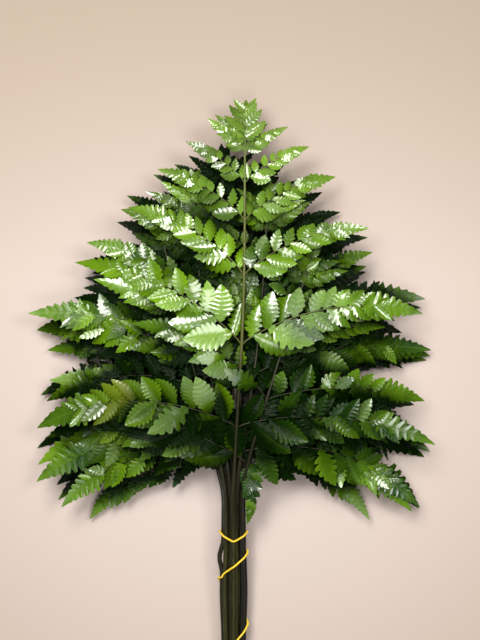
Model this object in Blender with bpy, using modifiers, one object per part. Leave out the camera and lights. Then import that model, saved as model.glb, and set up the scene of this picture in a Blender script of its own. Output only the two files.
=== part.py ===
"""A florist's bunch of leatherleaf fern, tied with an elastic and lying on a surface.

The stems run along Y, with their cut ends towards -Y and the tips towards +Y. The surface is
at Z = 0 and the origin ends up at the middle of the bunch's footprint. Each frond is one
solid: its stalk with every pinna's blade fused to it. The layout is worked out in a frame
whose X = 0 and Y = 0 lie where the elastic's upper loop ties the stems.
"""

import math
import random

import bmesh
import bpy
from mathutils import Vector

SEED = 7

# The bunch of stems
STEM_ROWS = (1, 4, 5, 4, 1)  # stems in each layer of the bundle, top layer first
STEM_PITCH = 0.0051
LOWEST_STEM = 0.0029  # height of the lowest stem's axis at its cut end
BUNDLE_RISE = 0.020  # the stems climb by this much from their cut ends to the tie
CUT_LENGTH = 0.160  # from the tie to the cut ends
CUT_JITTER = 0.003
SWELL = 0.16  # the stems spread by this share between the two loops of the elastic
SWELL_LENGTH = 0.115
STRAY_STEM = 9  # the stem at the bundle's left edge, which bows out under the tie
STRAY_BOW = 0.0036
STRAY_SPAN = (-0.041, -0.005)
RADIUS_CUT = 0.0025
RADIUS_TIE = 0.00235
RADIUS_BLADE = 0.0021
RADIUS_APEX = 0.0005

# How the fronds fan out of the tie
FAN_PER_METRE = math.radians(2150)  # a stem 10 mm off the middle leans 21.5 degrees
FAN_JITTER = math.radians(2.2)
FRONT_LEAN = math.radians(1.9)
FRONT_BOW = 0.004
FRONT_SKEW = math.radians(3)  # the front frond's pinnae are all turned by this to the right
BOW_JITTER = 0.010
TIE_END = 0.008  # the stems are straight this far past the tie
FAN_START = 0.030  # and stay side by side this far
FAN_EASE = 0.030  # length over which a stem then turns into its lean
RISE_LENGTH = 0.075  # length over which a stem rises from the bundle to its own layer
OUTLINE_SIDE = 0.122  # the bunch reaches this far from the tie straight out to the side
OUTLINE_TIP = 0.328  # and this much more straight ahead
OUTLINE_FALL = math.radians(46)
OUTLINE_SHOULDER = 0.028  # it bulges by this much half way along this span
SHOULDER_SPAN = (math.radians(26), math.radians(63))
ROW_REACH = (1.005, 0.90, 0.92, 0.92, 0.86)  # share of that outline that each layer's fronds reach
REACH_JITTER = 0.03

# The layers in which the blades lie over each other
FLOOR_LAYER = 0.0022  # height of the lowest frond's stalk
DOME_HEIGHT = 0.078
DOME_FALL = 0.022
DOME_MIDDLE = 0.210
DOME_LENGTH = 0.180
DOME_SIDE_FALL = 0.48
DOME_WIDTH = 0.210
SHINGLE = 0.27  # each pinna's edges rise and sink by this share of a layer

# One frond
BLADE_SHARE = 0.86  # of the reach
FRONT_BLADE_SHARE = 0.85
BLADE_JITTER = 0.01
LONG_BLADE = 0.34
PINNA_PAIRS = (6, 7)  # on a shorter and on a longer blade
PINNA_FIRST = 0.12  # shares of the blade's length, from its apex down
PINNA_LINEAR = 0.11
PINNA_SQUARE = 0.65
NODE_JITTER = 0.03
PINNA_LENGTH = 1.12  # as a share of the pinna's distance from the apex
FRONT_PINNA_LENGTH = 0.93
PINNA_LENGTH_FALL = 0.28
PINNA_ANGLE = math.radians(44)
PINNA_ANGLE_LOW = math.radians(21)
PINNA_TURN = math.radians(16)
PINNA_TURN_LOW = math.radians(42)
PINNA_SPREAD = math.radians(7)  # the most that a pinna's start differs from this
PINNA_SWING = math.radians(12)  # and its turn
PINNA_LOWEST_REACH = 0.012  # no pinna's tip comes further back than this in front of the tie
HANGING_FROND = 1  # this frond's lowest right pinna is short and hangs down beside the stems
HANGING_ANGLE = math.radians(150)
HANGING_TURN = math.radians(35)
HANGING_LENGTH = 0.064

# One pinna's blade
BLADE_THICKNESS = 0.00065
ROOT_AHEAD = 0.002  # a pinna's blade starts this far past the stalk's point there
STALK_OVERLAP = 0.002  # the stalk runs this far into the blade's tip
RIB_ROOT = 0.65  # half the midrib strip's width at its root, as a share of the stalk's radius
RIB_TIP = 0.0005
LEAFLET_FIRST = 0.06
LEAFLET_LAST = 0.92
LEAFLET_STEPS = (0.050, 0.085, 0.120, 0.155, 0.190)  # a pinna gains a pair of leaflets past each
LEAFLET_UPPER = 0.20
LEAFLET_LOWER = 0.27
LEAFLET_FALL = 0.8
LEAFLET_ANGLE = math.radians(60)
TIP_BREADTH = 1.6  # the leaflets of a frond's tip are longer by this for the tip's length

# The elastic
ELASTIC_RADIUS = 0.0010
ELASTIC_GAP = 0.0005
ELASTIC_TURN_POINTS = 16
LOOP_SAG = 0.008
UPPER_LOOP = 0.003
LOWER_LOOP = -0.130
COIL_STOPS = (0.003, -0.018, -0.045, -0.093, -0.130)  # at each side in turn, left side first

LEAF_GREEN = (0.045, 0.13, 0.018, 1.0)
ELASTIC_YELLOW = (0.90, 0.62, 0.02, 1.0)


def smooth(t):
    """0 to 1 with level ends."""
    t = min(max(t, 0.0), 1.0)
    return t * t * (3 - 2 * t)


def bump(s, start, end):
    """A rise from 0 at start to 1 halfway and back to 0 at end."""
    return math.sin(math.pi * min(max((s - start) / (end - start), 0.0), 1.0)) ** 2


def outline_radius(angle):
    """How far the bunch reaches from the tie in a direction, measured from straight ahead."""
    shoulder = OUTLINE_SHOULDER * bump(abs(angle), *SHOULDER_SPAN)
    return OUTLINE_SIDE + OUTLINE_TIP * math.exp(-abs(angle) / OUTLINE_FALL) + shoulder


def dome(x, y):
    """Height of the pile of blades over a point of the surface."""
    along = (y - DOME_MIDDLE) / DOME_LENGTH
    return (DOME_HEIGHT - DOME_FALL * along**2) * (1 - DOME_SIDE_FALL * (x / DOME_WIDTH) ** 2)


class Frond:
    """Where one frond's stem is in the bundle, and how it leans, bends and reaches."""

    def __init__(self, index, x, z, row):
        draw = random.Random(100 * SEED + index)
        lean, bow, reach, blade, cut = (draw.uniform(-1, 1) for _ in range(5))
        front = index == 0
        self.name = f"frond_{index + 1:02d}"
        self.draw = draw
        self.index = index
        self.share = 1 - index / (sum(STEM_ROWS) - 1)
        self.x = x
        self.z = z
        self.lean = FRONT_LEAN if front else FAN_PER_METRE * x + FAN_JITTER * lean
        self.bow = FRONT_BOW if front else BOW_JITTER * bow
        self.reach = outline_radius(self.lean) * ROW_REACH[row]
        if not front:
            self.reach *= 1 + REACH_JITTER * reach
        self.blade = self.reach * (FRONT_BLADE_SHARE if front else BLADE_SHARE + BLADE_JITTER * blade)
        self.cut = CUT_LENGTH + CUT_JITTER * cut
        self.pairs = PINNA_PAIRS[self.blade > LONG_BLADE]
        self.nodes = [self.node_share(pair) for pair in range(self.pairs)]

    def node_share(self, pair):
        """Where a pair of pinnae stands, as a share of the blade's length from its apex."""
        t = pair / (self.pairs - 1)
        share = PINNA_FIRST + PINNA_LINEAR * t + PINNA_SQUARE * t**2
        return share * (1 + NODE_JITTER * (1 - t) * self.draw.uniform(-1, 1))

    def plan(self, s):
        """The stalk's place on the surface, a distance s past the tie."""
        if s < 0:
            x = self.x * (1 + SWELL * bump(s, -SWELL_LENGTH, 0.0))
            if self.index == STRAY_STEM:
                x -= STRAY_BOW * bump(s, *STRAY_SPAN)
            return x, s
        free = max(0.0, s - FAN_START)
        along = free - FAN_EASE * (1 - math.exp(-free / FAN_EASE))
        bow = self.bow * bump(s, FAN_START, self.reach)
        x = self.x + math.sin(self.lean) * along + bow * math.cos(self.lean)
        return x, s - (1 - math.cos(self.lean)) * along - bow * math.sin(self.lean)

    def heading(self, s):
        """The stalk's direction in plan, measured from +Y towards +X."""
        step = 0.001
        x0, y0 = self.plan(s - step)
        x1, y1 = self.plan(s + step)
        return math.atan2(x1 - x0, y1 - y0)

    def layer(self, x, y):
        """The height at which this frond's blade lies."""
        return FLOOR_LAYER + self.share * dome(x, y)

    def spine(self, s):
        """The stalk's axis."""
        x, y = self.plan(s)
        rise = smooth(s / RISE_LENGTH)
        bundled = self.z + BUNDLE_RISE * (1 + s / CUT_LENGTH)
        return Vector((x, y, (1 - rise) * bundled + rise * self.layer(x, y)))

    def radius(self, s):
        """The stalk's radius, thinning from the cut end to the apex."""
        if s < 0:
            return RADIUS_TIE + (RADIUS_CUT - RADIUS_TIE) * -s / self.cut
        base = self.reach - self.blade
        if s < base:
            return RADIUS_TIE + (RADIUS_BLADE - RADIUS_TIE) * s / base
        left = max(0.0, (self.reach - s) / self.blade)
        return RADIUS_APEX + (RADIUS_BLADE - RADIUS_APEX) * left**0.6


class Pinna:
    """One side branch of a frond: an arc in plan that starts on the stalk and turns outwards."""

    def __init__(self, frond, pair, side):
        t = pair / (frond.pairs - 1)
        spread, turn, size = (frond.draw.uniform(-1, 1) for _ in range(3))
        share = frond.nodes[pair]
        from_apex = share * frond.blade
        s = frond.reach - from_apex
        self.side = side
        self.breadth = 1.0
        self.rib = RIB_ROOT * frond.radius(s)
        self.x, self.y = frond.plan(s + ROOT_AHEAD)
        loose = 0.4 if frond.index == 0 else 1.0
        angle = PINNA_ANGLE + PINNA_ANGLE_LOW * t**6 + loose * PINNA_SPREAD * spread
        self.start = frond.heading(s) + side * angle
        self.turn = side * (PINNA_TURN + PINNA_TURN_LOW * t**1.5 + loose * PINNA_SWING * turn)
        long = PINNA_LENGTH
        if frond.index == 0:
            self.start += FRONT_SKEW
            long = FRONT_PINNA_LENGTH
        self.length = from_apex * (long - PINNA_LENGTH_FALL * share) * (1 + 0.05 * size)
        self.fit_outline(1.06 + 0.08 * frond.draw.uniform(-1, 1))
        if frond.index == HANGING_FROND and pair == frond.pairs - 1 and side == 1:
            self.start = frond.heading(s) + HANGING_ANGLE
            self.turn = HANGING_TURN
            self.length = HANGING_LENGTH

    def fit_outline(self, allowance):
        """Shortens the pinna until its tip lies within the bunch's outline."""
        while self.length > 0.02:
            x, y, _ = self.at(1.0)
            far = math.hypot(x, y) > allowance * outline_radius(math.atan2(x, y))
            if not far and y > PINNA_LOWEST_REACH:
                break
            self.length *= 0.97

    def at(self, t):
        """The midrib's place and direction at a share t of its length."""
        angle = self.start + self.turn * t
        bend = self.turn / self.length
        x = self.x + (math.cos(self.start) - math.cos(angle)) / bend
        y = self.y + (math.sin(angle) - math.sin(self.start)) / bend
        return x, y, angle


class Tip:
    """The end of a frond, which is cut like a pinna and runs on along the stalk."""

    def __init__(self, frond):
        self.frond = frond
        self.length = 0.95 * PINNA_FIRST * frond.blade
        self.breadth = TIP_BREADTH
        self.side = 1
        self.rib = RIB_TIP

    def at(self, t):
        s = self.frond.reach - self.length * (1 - t)
        x, y = self.frond.plan(s)
        return x, y, self.frond.heading(s)


def blade_point(frond, pinna, t, out, angle, lift):
    """A point of a pinna's blade: out from the midrib at t, towards an angle from its direction.

    lift is how far the point is raised, as a share of the most that a leaflet's tip is."""
    x, y, heading = pinna.at(t)
    x += out * math.sin(heading + angle)
    y += out * math.cos(heading + angle)
    height = frond.layer(x, y)
    step = SHINGLE * dome(x, y) / (sum(STEM_ROWS) - 1)
    if frond.share > 0:
        return Vector((x, y, height + lift * step))
    # The lowest frond's blades come down from its stalk and lie flat on the surface.
    down = smooth(t * pinna.length / 0.015)
    flat = BLADE_THICKNESS / 2 + max(0.0, lift) * step
    return Vector((x, y, (1 - down) * height + down * flat))


def leaflet_count(length):
    """Leaflets along each edge of a pinna of this length."""
    return 1 + sum(length > step for step in LEAFLET_STEPS)


def blade_surface(frond, pinna):
    """A pinna's blade as an open surface: a strip along the midrib, with leaflets cut down to it."""
    bm = bmesh.new()
    count = leaflet_count(pinna.length)
    span = LEAFLET_LAST - LEAFLET_FIRST
    notches = [0.0] + [LEAFLET_FIRST + span * (i / count) ** 0.9 for i in range(count + 1)]
    edges = {}
    for side in (-1, 1):
        row = []
        for t in notches:
            rib = pinna.rib + (RIB_TIP - pinna.rib) * t
            point = blade_point(frond, pinna, t, rib, side * math.pi / 2, 0)
            row.append(bm.verts.new(point))
        edges[side] = row
    for i in range(len(notches) - 1):
        a, b = edges[-1][i], edges[-1][i + 1]
        c, d = edges[1][i + 1], edges[1][i]
        bm.faces.new((a, b, c))
        bm.faces.new((a, c, d))
    tip = bm.verts.new(blade_point(frond, pinna, 1.0, 0, 0, 0))
    bm.faces.new((edges[-1][-1], tip, edges[1][-1]))
    for side in (-1, 1):
        lower = side == pinna.side
        size = (LEAFLET_LOWER if lower else LEAFLET_UPPER) * pinna.length * pinna.breadth
        lift = 1 if lower else -1
        for i in range(1, count + 1):
            root = edges[side][i]
            end = edges[side][i + 1]
            middle = (notches[i] + notches[i + 1]) / 2
            long = size * (1 - middle) ** LEAFLET_FALL
            angle = side * LEAFLET_ANGLE
            point = bm.verts.new(blade_point(frond, pinna, middle, long, angle, lift))
            bm.faces.new((root, point, end))
    bmesh.ops.recalc_face_normals(bm, faces=bm.faces)
    mesh = bpy.data.meshes.new("blade")
    bm.to_mesh(mesh)
    bm.free()
    return mesh


def add_blade(frond, pinna, collection):
    """A pinna's blade as a closed plate in the collection."""
    blade = bpy.data.objects.new("blade", blade_surface(frond, pinna))
    collection.objects.link(blade)
    shell = blade.modifiers.new("shell", "SOLIDIFY")
    shell.thickness = BLADE_THICKNESS
    shell.offset = 0


def tube(name, points, radii, collection, cyclic=False):
    """A round bar through the points, as a closed mesh."""
    curve = bpy.data.curves.new(name, "CURVE")
    curve.dimensions = "3D"
    curve.bevel_depth = 1.0
    curve.bevel_resolution = 1
    curve.use_fill_caps = not cyclic
    spline = curve.splines.new("POLY")
    spline.points.add(len(points) - 1)
    for point, place, radius in zip(spline.points, points, radii):
        point.co = (*place, 1.0)
        point.radius = radius
        point.tilt = math.radians(30)
    spline.use_cyclic_u = cyclic
    guide = bpy.data.objects.new(name, curve)
    collection.objects.link(guide)
    bpy.context.view_layer.update()
    graph = bpy.context.evaluated_depsgraph_get()
    mesh = bpy.data.meshes.new_from_object(guide.evaluated_get(graph))
    bpy.data.objects.remove(guide)
    bpy.data.curves.remove(curve)
    bm = bmesh.new()
    bm.from_mesh(mesh)
    bmesh.ops.remove_doubles(bm, verts=bm.verts, dist=1e-6)
    bmesh.ops.recalc_face_normals(bm, faces=bm.faces)
    bm.to_mesh(mesh)
    bm.free()
    body = bpy.data.objects.new(name, mesh)
    collection.objects.link(body)
    return body


def fuse(body, pieces):
    """Joins every object of a collection to the body and removes them."""
    union = body.modifiers.new("union", "BOOLEAN")
    union.operation = "UNION"
    union.operand_type = "COLLECTION"
    union.collection = pieces
    bpy.context.view_layer.update()
    graph = bpy.context.evaluated_depsgraph_get()
    whole = bpy.data.meshes.new_from_object(body.evaluated_get(graph))
    body.modifiers.remove(union)
    body.data = whole
    for piece in list(pieces.objects):
        bpy.data.objects.remove(piece)
    bpy.data.collections.remove(pieces)


def helper_collection(name):
    """A collection for pieces that are about to be fused."""
    collection = bpy.data.collections.new(name)
    bpy.context.scene.collection.children.link(collection)
    return collection


def stem_places():
    """Each stem's place at the tie, from the top layer down and right to left: x, z and layer."""
    row_step = STEM_PITCH * math.sin(math.radians(60))
    places = []
    for row, count in enumerate(STEM_ROWS):
        z = LOWEST_STEM + (len(STEM_ROWS) - 1 - row) * row_step
        places += [(((count - 1) / 2 - i) * STEM_PITCH, z, row) for i in range(count)]
    return places


def make_frond(frond, material, collection):
    """One frond: its stalk with every pinna and its tip fused to it."""
    base = frond.reach - frond.blade
    below = [-frond.cut, -SWELL_LENGTH, -SWELL_LENGTH / 2, TIE_END, FAN_START]
    if frond.index == STRAY_STEM:
        start, end = STRAY_SPAN
        below = sorted(below + [start + (end - start) * i / 4 for i in range(5)])
    blade = [frond.reach - share * frond.blade for share in frond.nodes[::-1]]
    tip = Tip(frond)
    stations = below + [base] + blade + [frond.reach - tip.length + STALK_OVERLAP]
    points = [frond.spine(s) for s in stations]
    radii = [frond.radius(s) for s in stations]
    body = tube(frond.name, points, radii, collection)
    blades = helper_collection("blades")
    for pair in range(frond.pairs):
        for side in (-1, 1):
            add_blade(frond, Pinna(frond, pair, side), blades)
    add_blade(frond, tip, blades)
    fuse(body, blades)
    body.data.materials.clear()
    body.data.materials.append(material)
    return body


def round_bundle(fronds, y, angle):
    """The point where an elastic round all the stems faces the angle, at y along them."""
    out = ELASTIC_RADIUS + ELASTIC_GAP
    normal = Vector((math.cos(angle), 0, math.sin(angle)))

    def reach(frond):
        return frond.spine(y).dot(normal) + frond.radius(y)

    outer = max(fronds, key=reach)
    centre = outer.spine(y)
    return Vector((centre.x, y, centre.z)) + (outer.radius(y) + out) * normal


def loop_points(fronds, height, sag):
    """A closed loop of the elastic, which sags along the stems where it crosses the top."""
    points = []
    for i in range(ELASTIC_TURN_POINTS):
        angle = 2 * math.pi * i / ELASTIC_TURN_POINTS
        y = height - sag * max(0.0, math.sin(angle)) ** 2
        points.append(round_bundle(fronds, y, angle))
    return points


def coil_points(fronds):
    """The elastic's coil from the upper loop to the lower one, half a turn between stops."""
    half = ELASTIC_TURN_POINTS // 2
    points = []
    for turn, (start, end) in enumerate(zip(COIL_STOPS, COIL_STOPS[1:])):
        angles = [math.pi * (1 + turn + i / half) for i in range(half + 1)]
        flat = [round_bundle(fronds, (start + end) / 2, a) for a in angles]
        lengths = [0.0]
        for a, b in zip(flat, flat[1:]):
            lengths.append(lengths[-1] + (b - a).length)
        shares = [length / lengths[-1] for length in lengths]
        stops = [start + (end - start) * share for share in shares]
        turned = [round_bundle(fronds, y, a) for y, a in zip(stops, angles)]
        points += turned if not points else turned[1:]
    return points


def make_elastic(fronds, material, collection):
    """The elastic: a loop round the stems, a coil down them and a second loop."""
    def bar(name, points, where, cyclic):
        return tube(name, points, [ELASTIC_RADIUS] * len(points), where, cyclic)

    body = bar("elastic_band", loop_points(fronds, UPPER_LOOP, LOOP_SAG), collection, True)
    others = helper_collection("elastic")
    bar("coil", coil_points(fronds), others, False)
    bar("lower_loop", loop_points(fronds, LOWER_LOOP, -LOOP_SAG), others, True)
    fuse(body, others)
    body.data.materials.clear()
    body.data.materials.append(material)
    return body


def make_material(name, colour, roughness):
    material = bpy.data.materials.new(name)
    material.use_nodes = True
    shader = material.node_tree.nodes["Principled BSDF"]
    shader.inputs["Base Color"].default_value = colour
    shader.inputs["Roughness"].default_value = roughness
    material.diffuse_color = colour
    return material


def to_footprint_middle(parts, collection):
    """Moves the bunch, through a parent empty, so that its footprint's middle is the origin."""
    corners = [vertex.co for part in parts for vertex in part.data.vertices]
    low = [min(c[i] for c in corners) for i in range(3)]
    high = [max(c[i] for c in corners) for i in range(3)]
    bunch = bpy.data.objects.new("bunch", None)
    collection.objects.link(bunch)
    bunch.location = (-(low[0] + high[0]) / 2, -(low[1] + high[1]) / 2, -low[2])
    for part in parts:
        part.parent = bunch


def main():
    for obj in list(bpy.data.objects):
        bpy.data.objects.remove(obj)
    collection = bpy.data.collections.new("fern_bunch")
    bpy.context.scene.collection.children.link(collection)
    leaf = make_material("fern_leaf", LEAF_GREEN, 0.35)
    rubber = make_material("yellow_elastic", ELASTIC_YELLOW, 0.45)
    fronds = [Frond(i, *place) for i, place in enumerate(stem_places())]
    parts = [make_frond(frond, leaf, collection) for frond in fronds]
    parts.append(make_elastic(fronds, rubber, collection))
    to_footprint_middle(parts, collection)


main()
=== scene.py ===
"""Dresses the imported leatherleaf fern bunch: finer fronds and a smooth elastic.

Each frond is laid out by the rules of the part's source, with the same named values and the
same seeded draws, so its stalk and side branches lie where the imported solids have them. The
fine version has toothed, folded leaflets, round stalks and procedural materials.
"""

import math
import random

import bpy
import numpy as np
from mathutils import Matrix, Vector


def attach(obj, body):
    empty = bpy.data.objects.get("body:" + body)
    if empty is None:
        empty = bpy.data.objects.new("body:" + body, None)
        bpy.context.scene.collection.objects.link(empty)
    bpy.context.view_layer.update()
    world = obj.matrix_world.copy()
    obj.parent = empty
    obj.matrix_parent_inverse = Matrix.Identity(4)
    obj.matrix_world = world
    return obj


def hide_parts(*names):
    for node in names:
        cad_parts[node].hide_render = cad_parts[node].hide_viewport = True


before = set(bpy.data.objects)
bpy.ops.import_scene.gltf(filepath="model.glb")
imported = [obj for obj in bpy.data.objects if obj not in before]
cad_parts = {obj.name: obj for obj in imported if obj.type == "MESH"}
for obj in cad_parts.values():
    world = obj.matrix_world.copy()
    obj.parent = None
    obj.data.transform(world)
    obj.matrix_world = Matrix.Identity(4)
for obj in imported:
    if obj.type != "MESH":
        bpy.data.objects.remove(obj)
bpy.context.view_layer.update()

SEED = 7

# The bunch of stems, as in the part
STEM_ROWS = (1, 4, 5, 4, 1)
STEM_PITCH = 0.0051
LOWEST_STEM = 0.0029
BUNDLE_RISE = 0.020
CUT_LENGTH = 0.160
CUT_JITTER = 0.003
SWELL = 0.16
SWELL_LENGTH = 0.115
STRAY_STEM = 9
STRAY_BOW = 0.0036
STRAY_SPAN = (-0.041, -0.005)
RADIUS_CUT = 0.0025
RADIUS_TIE = 0.00235

# How the fronds fan out of the tie, as in the part
FAN_PER_METRE = math.radians(2150)
FAN_JITTER = math.radians(2.2)
FRONT_LEAN = math.radians(1.9)
FRONT_BOW = 0.004
FRONT_SKEW = math.radians(3)
BOW_JITTER = 0.010
FAN_START = 0.030
FAN_EASE = 0.030
RISE_LENGTH = 0.075
OUTLINE_SIDE = 0.122
OUTLINE_TIP = 0.328
OUTLINE_FALL = math.radians(46)
OUTLINE_SHOULDER = 0.028
SHOULDER_SPAN = (math.radians(26), math.radians(63))
ROW_REACH = (1.005, 0.90, 0.92, 0.92, 0.86)
REACH_JITTER = 0.03

# The layers of blades, as in the part
FLOOR_LAYER = 0.0022
DOME_HEIGHT = 0.078
DOME_FALL = 0.022
DOME_MIDDLE = 0.210
DOME_LENGTH = 0.180
DOME_SIDE_FALL = 0.48
DOME_WIDTH = 0.210

# One frond, as in the part
BLADE_SHARE = 0.86
FRONT_BLADE_SHARE = 0.85
BLADE_JITTER = 0.01
LONG_BLADE = 0.34
PINNA_PAIRS = (6, 7)
PINNA_FIRST = 0.12
PINNA_LINEAR = 0.11
PINNA_SQUARE = 0.65
NODE_JITTER = 0.03
PINNA_LENGTH = 1.12
FRONT_PINNA_LENGTH = 0.93
PINNA_LENGTH_FALL = 0.28
PINNA_ANGLE = math.radians(44)
PINNA_ANGLE_LOW = math.radians(21)
PINNA_TURN = math.radians(16)
PINNA_TURN_LOW = math.radians(42)
PINNA_SPREAD = math.radians(7)
PINNA_SWING = math.radians(12)
FRONT_LOOSE = 0.4  # the front frond's pinnae spread and swing by this share of that
PINNA_SIZE_JITTER = 0.05
OUTLINE_ALLOWANCE = 1.06  # a pinna's tip may reach this share of the outline, give or take
OUTLINE_JITTER = 0.08
SHORTENING = 0.97  # a pinna that reaches further is shortened by such steps
SHORTEST_PINNA = 0.02
PINNA_LOWEST_REACH = 0.012
HANGING_FROND = 1
HANGING_ANGLE = math.radians(150)
HANGING_TURN = math.radians(35)
HANGING_LENGTH = 0.064
ROOT_AHEAD = 0.002

# The elastic, as in the part
ELASTIC_RADIUS = 0.0010
ELASTIC_GAP = 0.0005
LOOP_SAG = 0.008
UPPER_LOOP = 0.003
LOWER_LOOP = -0.130
COIL_STOPS = (0.003, -0.018, -0.045, -0.093, -0.130)

# The fine stalks
STALK_SIDES = 12
STALK_STEP = 0.006
STALK_FLUTE = 0.05
STALK_SHORT = 0.25  # a stalk ends this share of the tip's length before the apex
CUT_RING = 0.002  # the CAD stalk's points this near to its cut end are those of its end face
RADIUS_BLADE = 0.0019
RADIUS_APEX = 0.0005
COSTA_SIDES = 6
COSTA_STEP = 0.005
COSTA_LEAST_POINTS = 8
COSTA_END = 0.985
COSTA_RADIUS = 0.00075  # at the root of a pinna of COSTA_LENGTH
COSTA_LENGTH = 0.150
COSTA_TIP = 0.0003
COSTA_FLOOR = 0.0012  # no midrib's axis lies lower than this
COSTA_PALING = 0.4  # a midrib pales by this share of what the stalk does from there to its apex

# The fine elastic
ELASTIC_SIDES = 10
LOOP_POINTS = 96
HALF_TURN_STEPS = 48
RELAX_PASSES = 6
SAG_POWER = 1.5

# The fine leaflets
LEAF_THICKNESS = 0.00035
LAST_WHOLE = 2  # from the frond after this one down, all leaflets are lobed
FINE_FRONDS = 6  # the fronds from the top down whose leaflets have a finer mesh
LEAFLET_PAIRS = 5
LEAFLET_STEP = 0.030  # a pinna has one more pair of leaflets for each of these of its length
LEAFLET_FIRST = 0.06
LEAFLET_SPAN = 0.73
LEAFLET_CROWDING = 1.4  # they stand closer towards the pinna's end
LEAFLET_UPPER = 0.195
LEAFLET_LOWER = 0.255
SMALL_PINNA = 0.110  # a shorter pinna has longer leaflets for its length
SMALL_GAIN = 0.30
LEAFLET_FALL = 0.62
LONG_LEAFLET = 0.026  # below the top fronds, leaflets grow little beyond this length
LONG_KEPT = 0.45
UPPER_BREADTH = 0.30  # half the width, as a share of the length
LOWER_BREADTH = 0.27
UPPER_ANGLE = math.radians(62)
LOWER_ANGLE = math.radians(54)
ANGLE_FALL = 0.25  # the angle shrinks by this share towards the pinna's end
LOWER_AHEAD = 0.3  # the lower leaflets stand further on by this share of a step
JOINED_FROM = 0.5  # past this share of a pinna's length its leaflets are joined
ALL_JOINED = 0.065  # and on a shorter pinna than this all of them are
JOINED_BREADTH = 0.60  # half the width, as a share of the distance to the next one
LOBED_SHARE = 0.25  # of the top fronds' free leaflets
UPPER_LIFT = -0.0002
LOWER_LIFT = 0.0007
END_START = 0.72  # a pinna's end blade starts at this share of its length
END_LENGTH = 1.04  # and is this much longer than what is left
END_BREADTH = 0.27
END_LIFT = 0.0003
END_CURL = 0.3  # as a share of the pinna's droop
TOP_LIMIT = 0.0790
TOP_KEPT = 0.2  # the share that is kept of what stands higher

# A frond's tip: where there are two values, the first is the front frond's
TIP_LEAFLET = (0.52, 0.42)
TIP_END = (0.55, 0.64)
TIP_LEAFLETS = 4
TIP_FALL = 0.30
TIP_END_GAIN = 1.8

# The rows and columns of points of a leaflet
ROOT_ROW = 0.55  # the second row, as a share of the way to the first tooth
TEETH_END = 0.95
TOOTH_CROWDING = 0.95
TOOTH_LEAN = 0.55  # along a tooth, its middle moves on by this share of what its edge does
FINE_TOOTH = ((0.45, 1.0), (0.85, 1.03))  # the rows along a tooth, and how far out each is
PLAIN_TOOTH = ((0.75, 1.06),)
FINE_COLUMNS = (-1.0, -0.55, 0.0, 0.55, 1.0)
PLAIN_COLUMNS = (-1.0, 0.0, 1.0)
ENVELOPE_RISE = 0.8
PLEAT = 0.06  # how far the teeth rise and the notches sink, as a share of half the width

# How pinnae and leaflets vary: the middle and the spread of a draw, or its spread alone
PINNA_CLIMB = (0.05, 0.05)
PINNA_DROOP = (0.11, 0.05)
PINNA_ROLL = (0.0, 0.13)
PINNA_VEE = (-0.02, 0.13)
PINNA_TONE = (0.0, 0.18)
# Painted shade: the tone that darkens the hanging pinna, which lies in shade.
HANGING_PAINTED_SHADE = -0.45
DEEP_FREEDOM = 0.45  # what the lowest frond has of the front frond's freedom
LAYER_FREEDOM = 0.45  # and what a higher layer adds
LEAFLET_BEND = (0.28, 0.10)
LEAFLET_FOLD = (0.16, 0.20)
LEAFLET_CURL = (0.10, 0.12)
LEAFLET_CUP = (-0.16, 0.20)
END_CUP = (-0.10, 0.12)
PLACE_SPREAD = 0.06
LENGTH_SPREAD = 0.07
BREADTH_SPREAD = 0.08
FRONT_ANGLE_SPREAD = 0.08
ANGLE_SPREAD = 0.18
TILT_SPREAD = 0.13
ROLL_SPREAD = 0.24
TONE_SPREAD = 0.16
END_FOLD_SPREAD = 0.10
END_TONE_SPREAD = 0.10

# The patch of aged leaflets at the lower left
FADED_PLACE = (-0.106, 0.130)
FADED_SIZE = (0.014, 0.024)
FADED_GAIN = 1.2
FADED_RANGE = (0.4, 1.0)

# Soft hollows in the pile: two waves cross, each with its slant, its rate and its start
RIPPLE = 0.0035
RIPPLE_LENGTH = 0.052
RIPPLE_ACROSS = (0.35, 2.1, 0.6)
RIPPLE_ALONG = (-0.25, 1.7, 2.0)

# The shade inside the bunch, found on a grid of cells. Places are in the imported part's frame
SHADE_CELL = 0.004
SHADE_MARGIN = 10  # cells round the bunch
SHADE_REACH = (0.008, 0.018, 0.030)  # how far off the leaves are looked at
SHADE_TURNS = 8  # and in how many directions
SHADE_MOST = 1.5
STALK_SIDE_SHADE = 0.45  # a stalk's flanks lie in the shade of its neighbours
STALKS_PART = -0.02  # the stalks have parted here, and this shade is down to STALKS_LEFT
STALKS_CLOSE = 0.08  # it is full this far before that
STALKS_LEFT = 0.2
HEART_SHADE = 0.58  # least light gets in deep between the stalks, round HEART_Y
HEART_TOP = 0.75  # the share of this shade that the top frond gets
HEART_STEP = 0.10  # how much more each frond below gets
HEART_Y = -0.020
HEART_SIZE = (0.12, 0.056)

# The veins of a leaflet
VEIN_SLANT = 0.22
VEINS_PER_TOOTH = 1.15
FINE_VEINS = 3  # to each coarse one
COARSE_DEPTH = 0.7
FINE_DEPTH = 0.3
RIB_BREADTH = 0.06

# The camera, the lights and the floor
IMAGE_HEIGHT = 0.636  # metres seen across the image's long side
CAMERA_DISTANCE = 1.25
CAMERA_LEVEL = 0.055
SENSOR_WIDTH = 36
VIEW_CENTRE = (0.0065, 0.217)
# Each light's place from the middle of the view, its size, its power and its colour
LIGHTS = {
    "key": ((-0.26, 0.66, 1.35), 0.55, 15, (1.0, 0.97, 0.93)),
    "left": ((-0.42, 0.30, 1.45), 0.40, 8, (1.0, 0.98, 0.95)),
    "right": ((0.62, 0.25, 1.35), 0.40, 7, (1.0, 0.97, 0.93)),
    "low": ((0.14, -0.44, 1.40), 0.40, 3.5, (1.0, 0.98, 0.96)),
    "fill": ((-0.2, -0.8, 2.0), 1.6, 5, (1.0, 0.98, 0.96)),
}
LIGHT_TARGET = 0.03  # the height that the lights point at
WORLD_STRENGTH = 0.12
FLOOR_SIZE = 8.0


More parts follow.
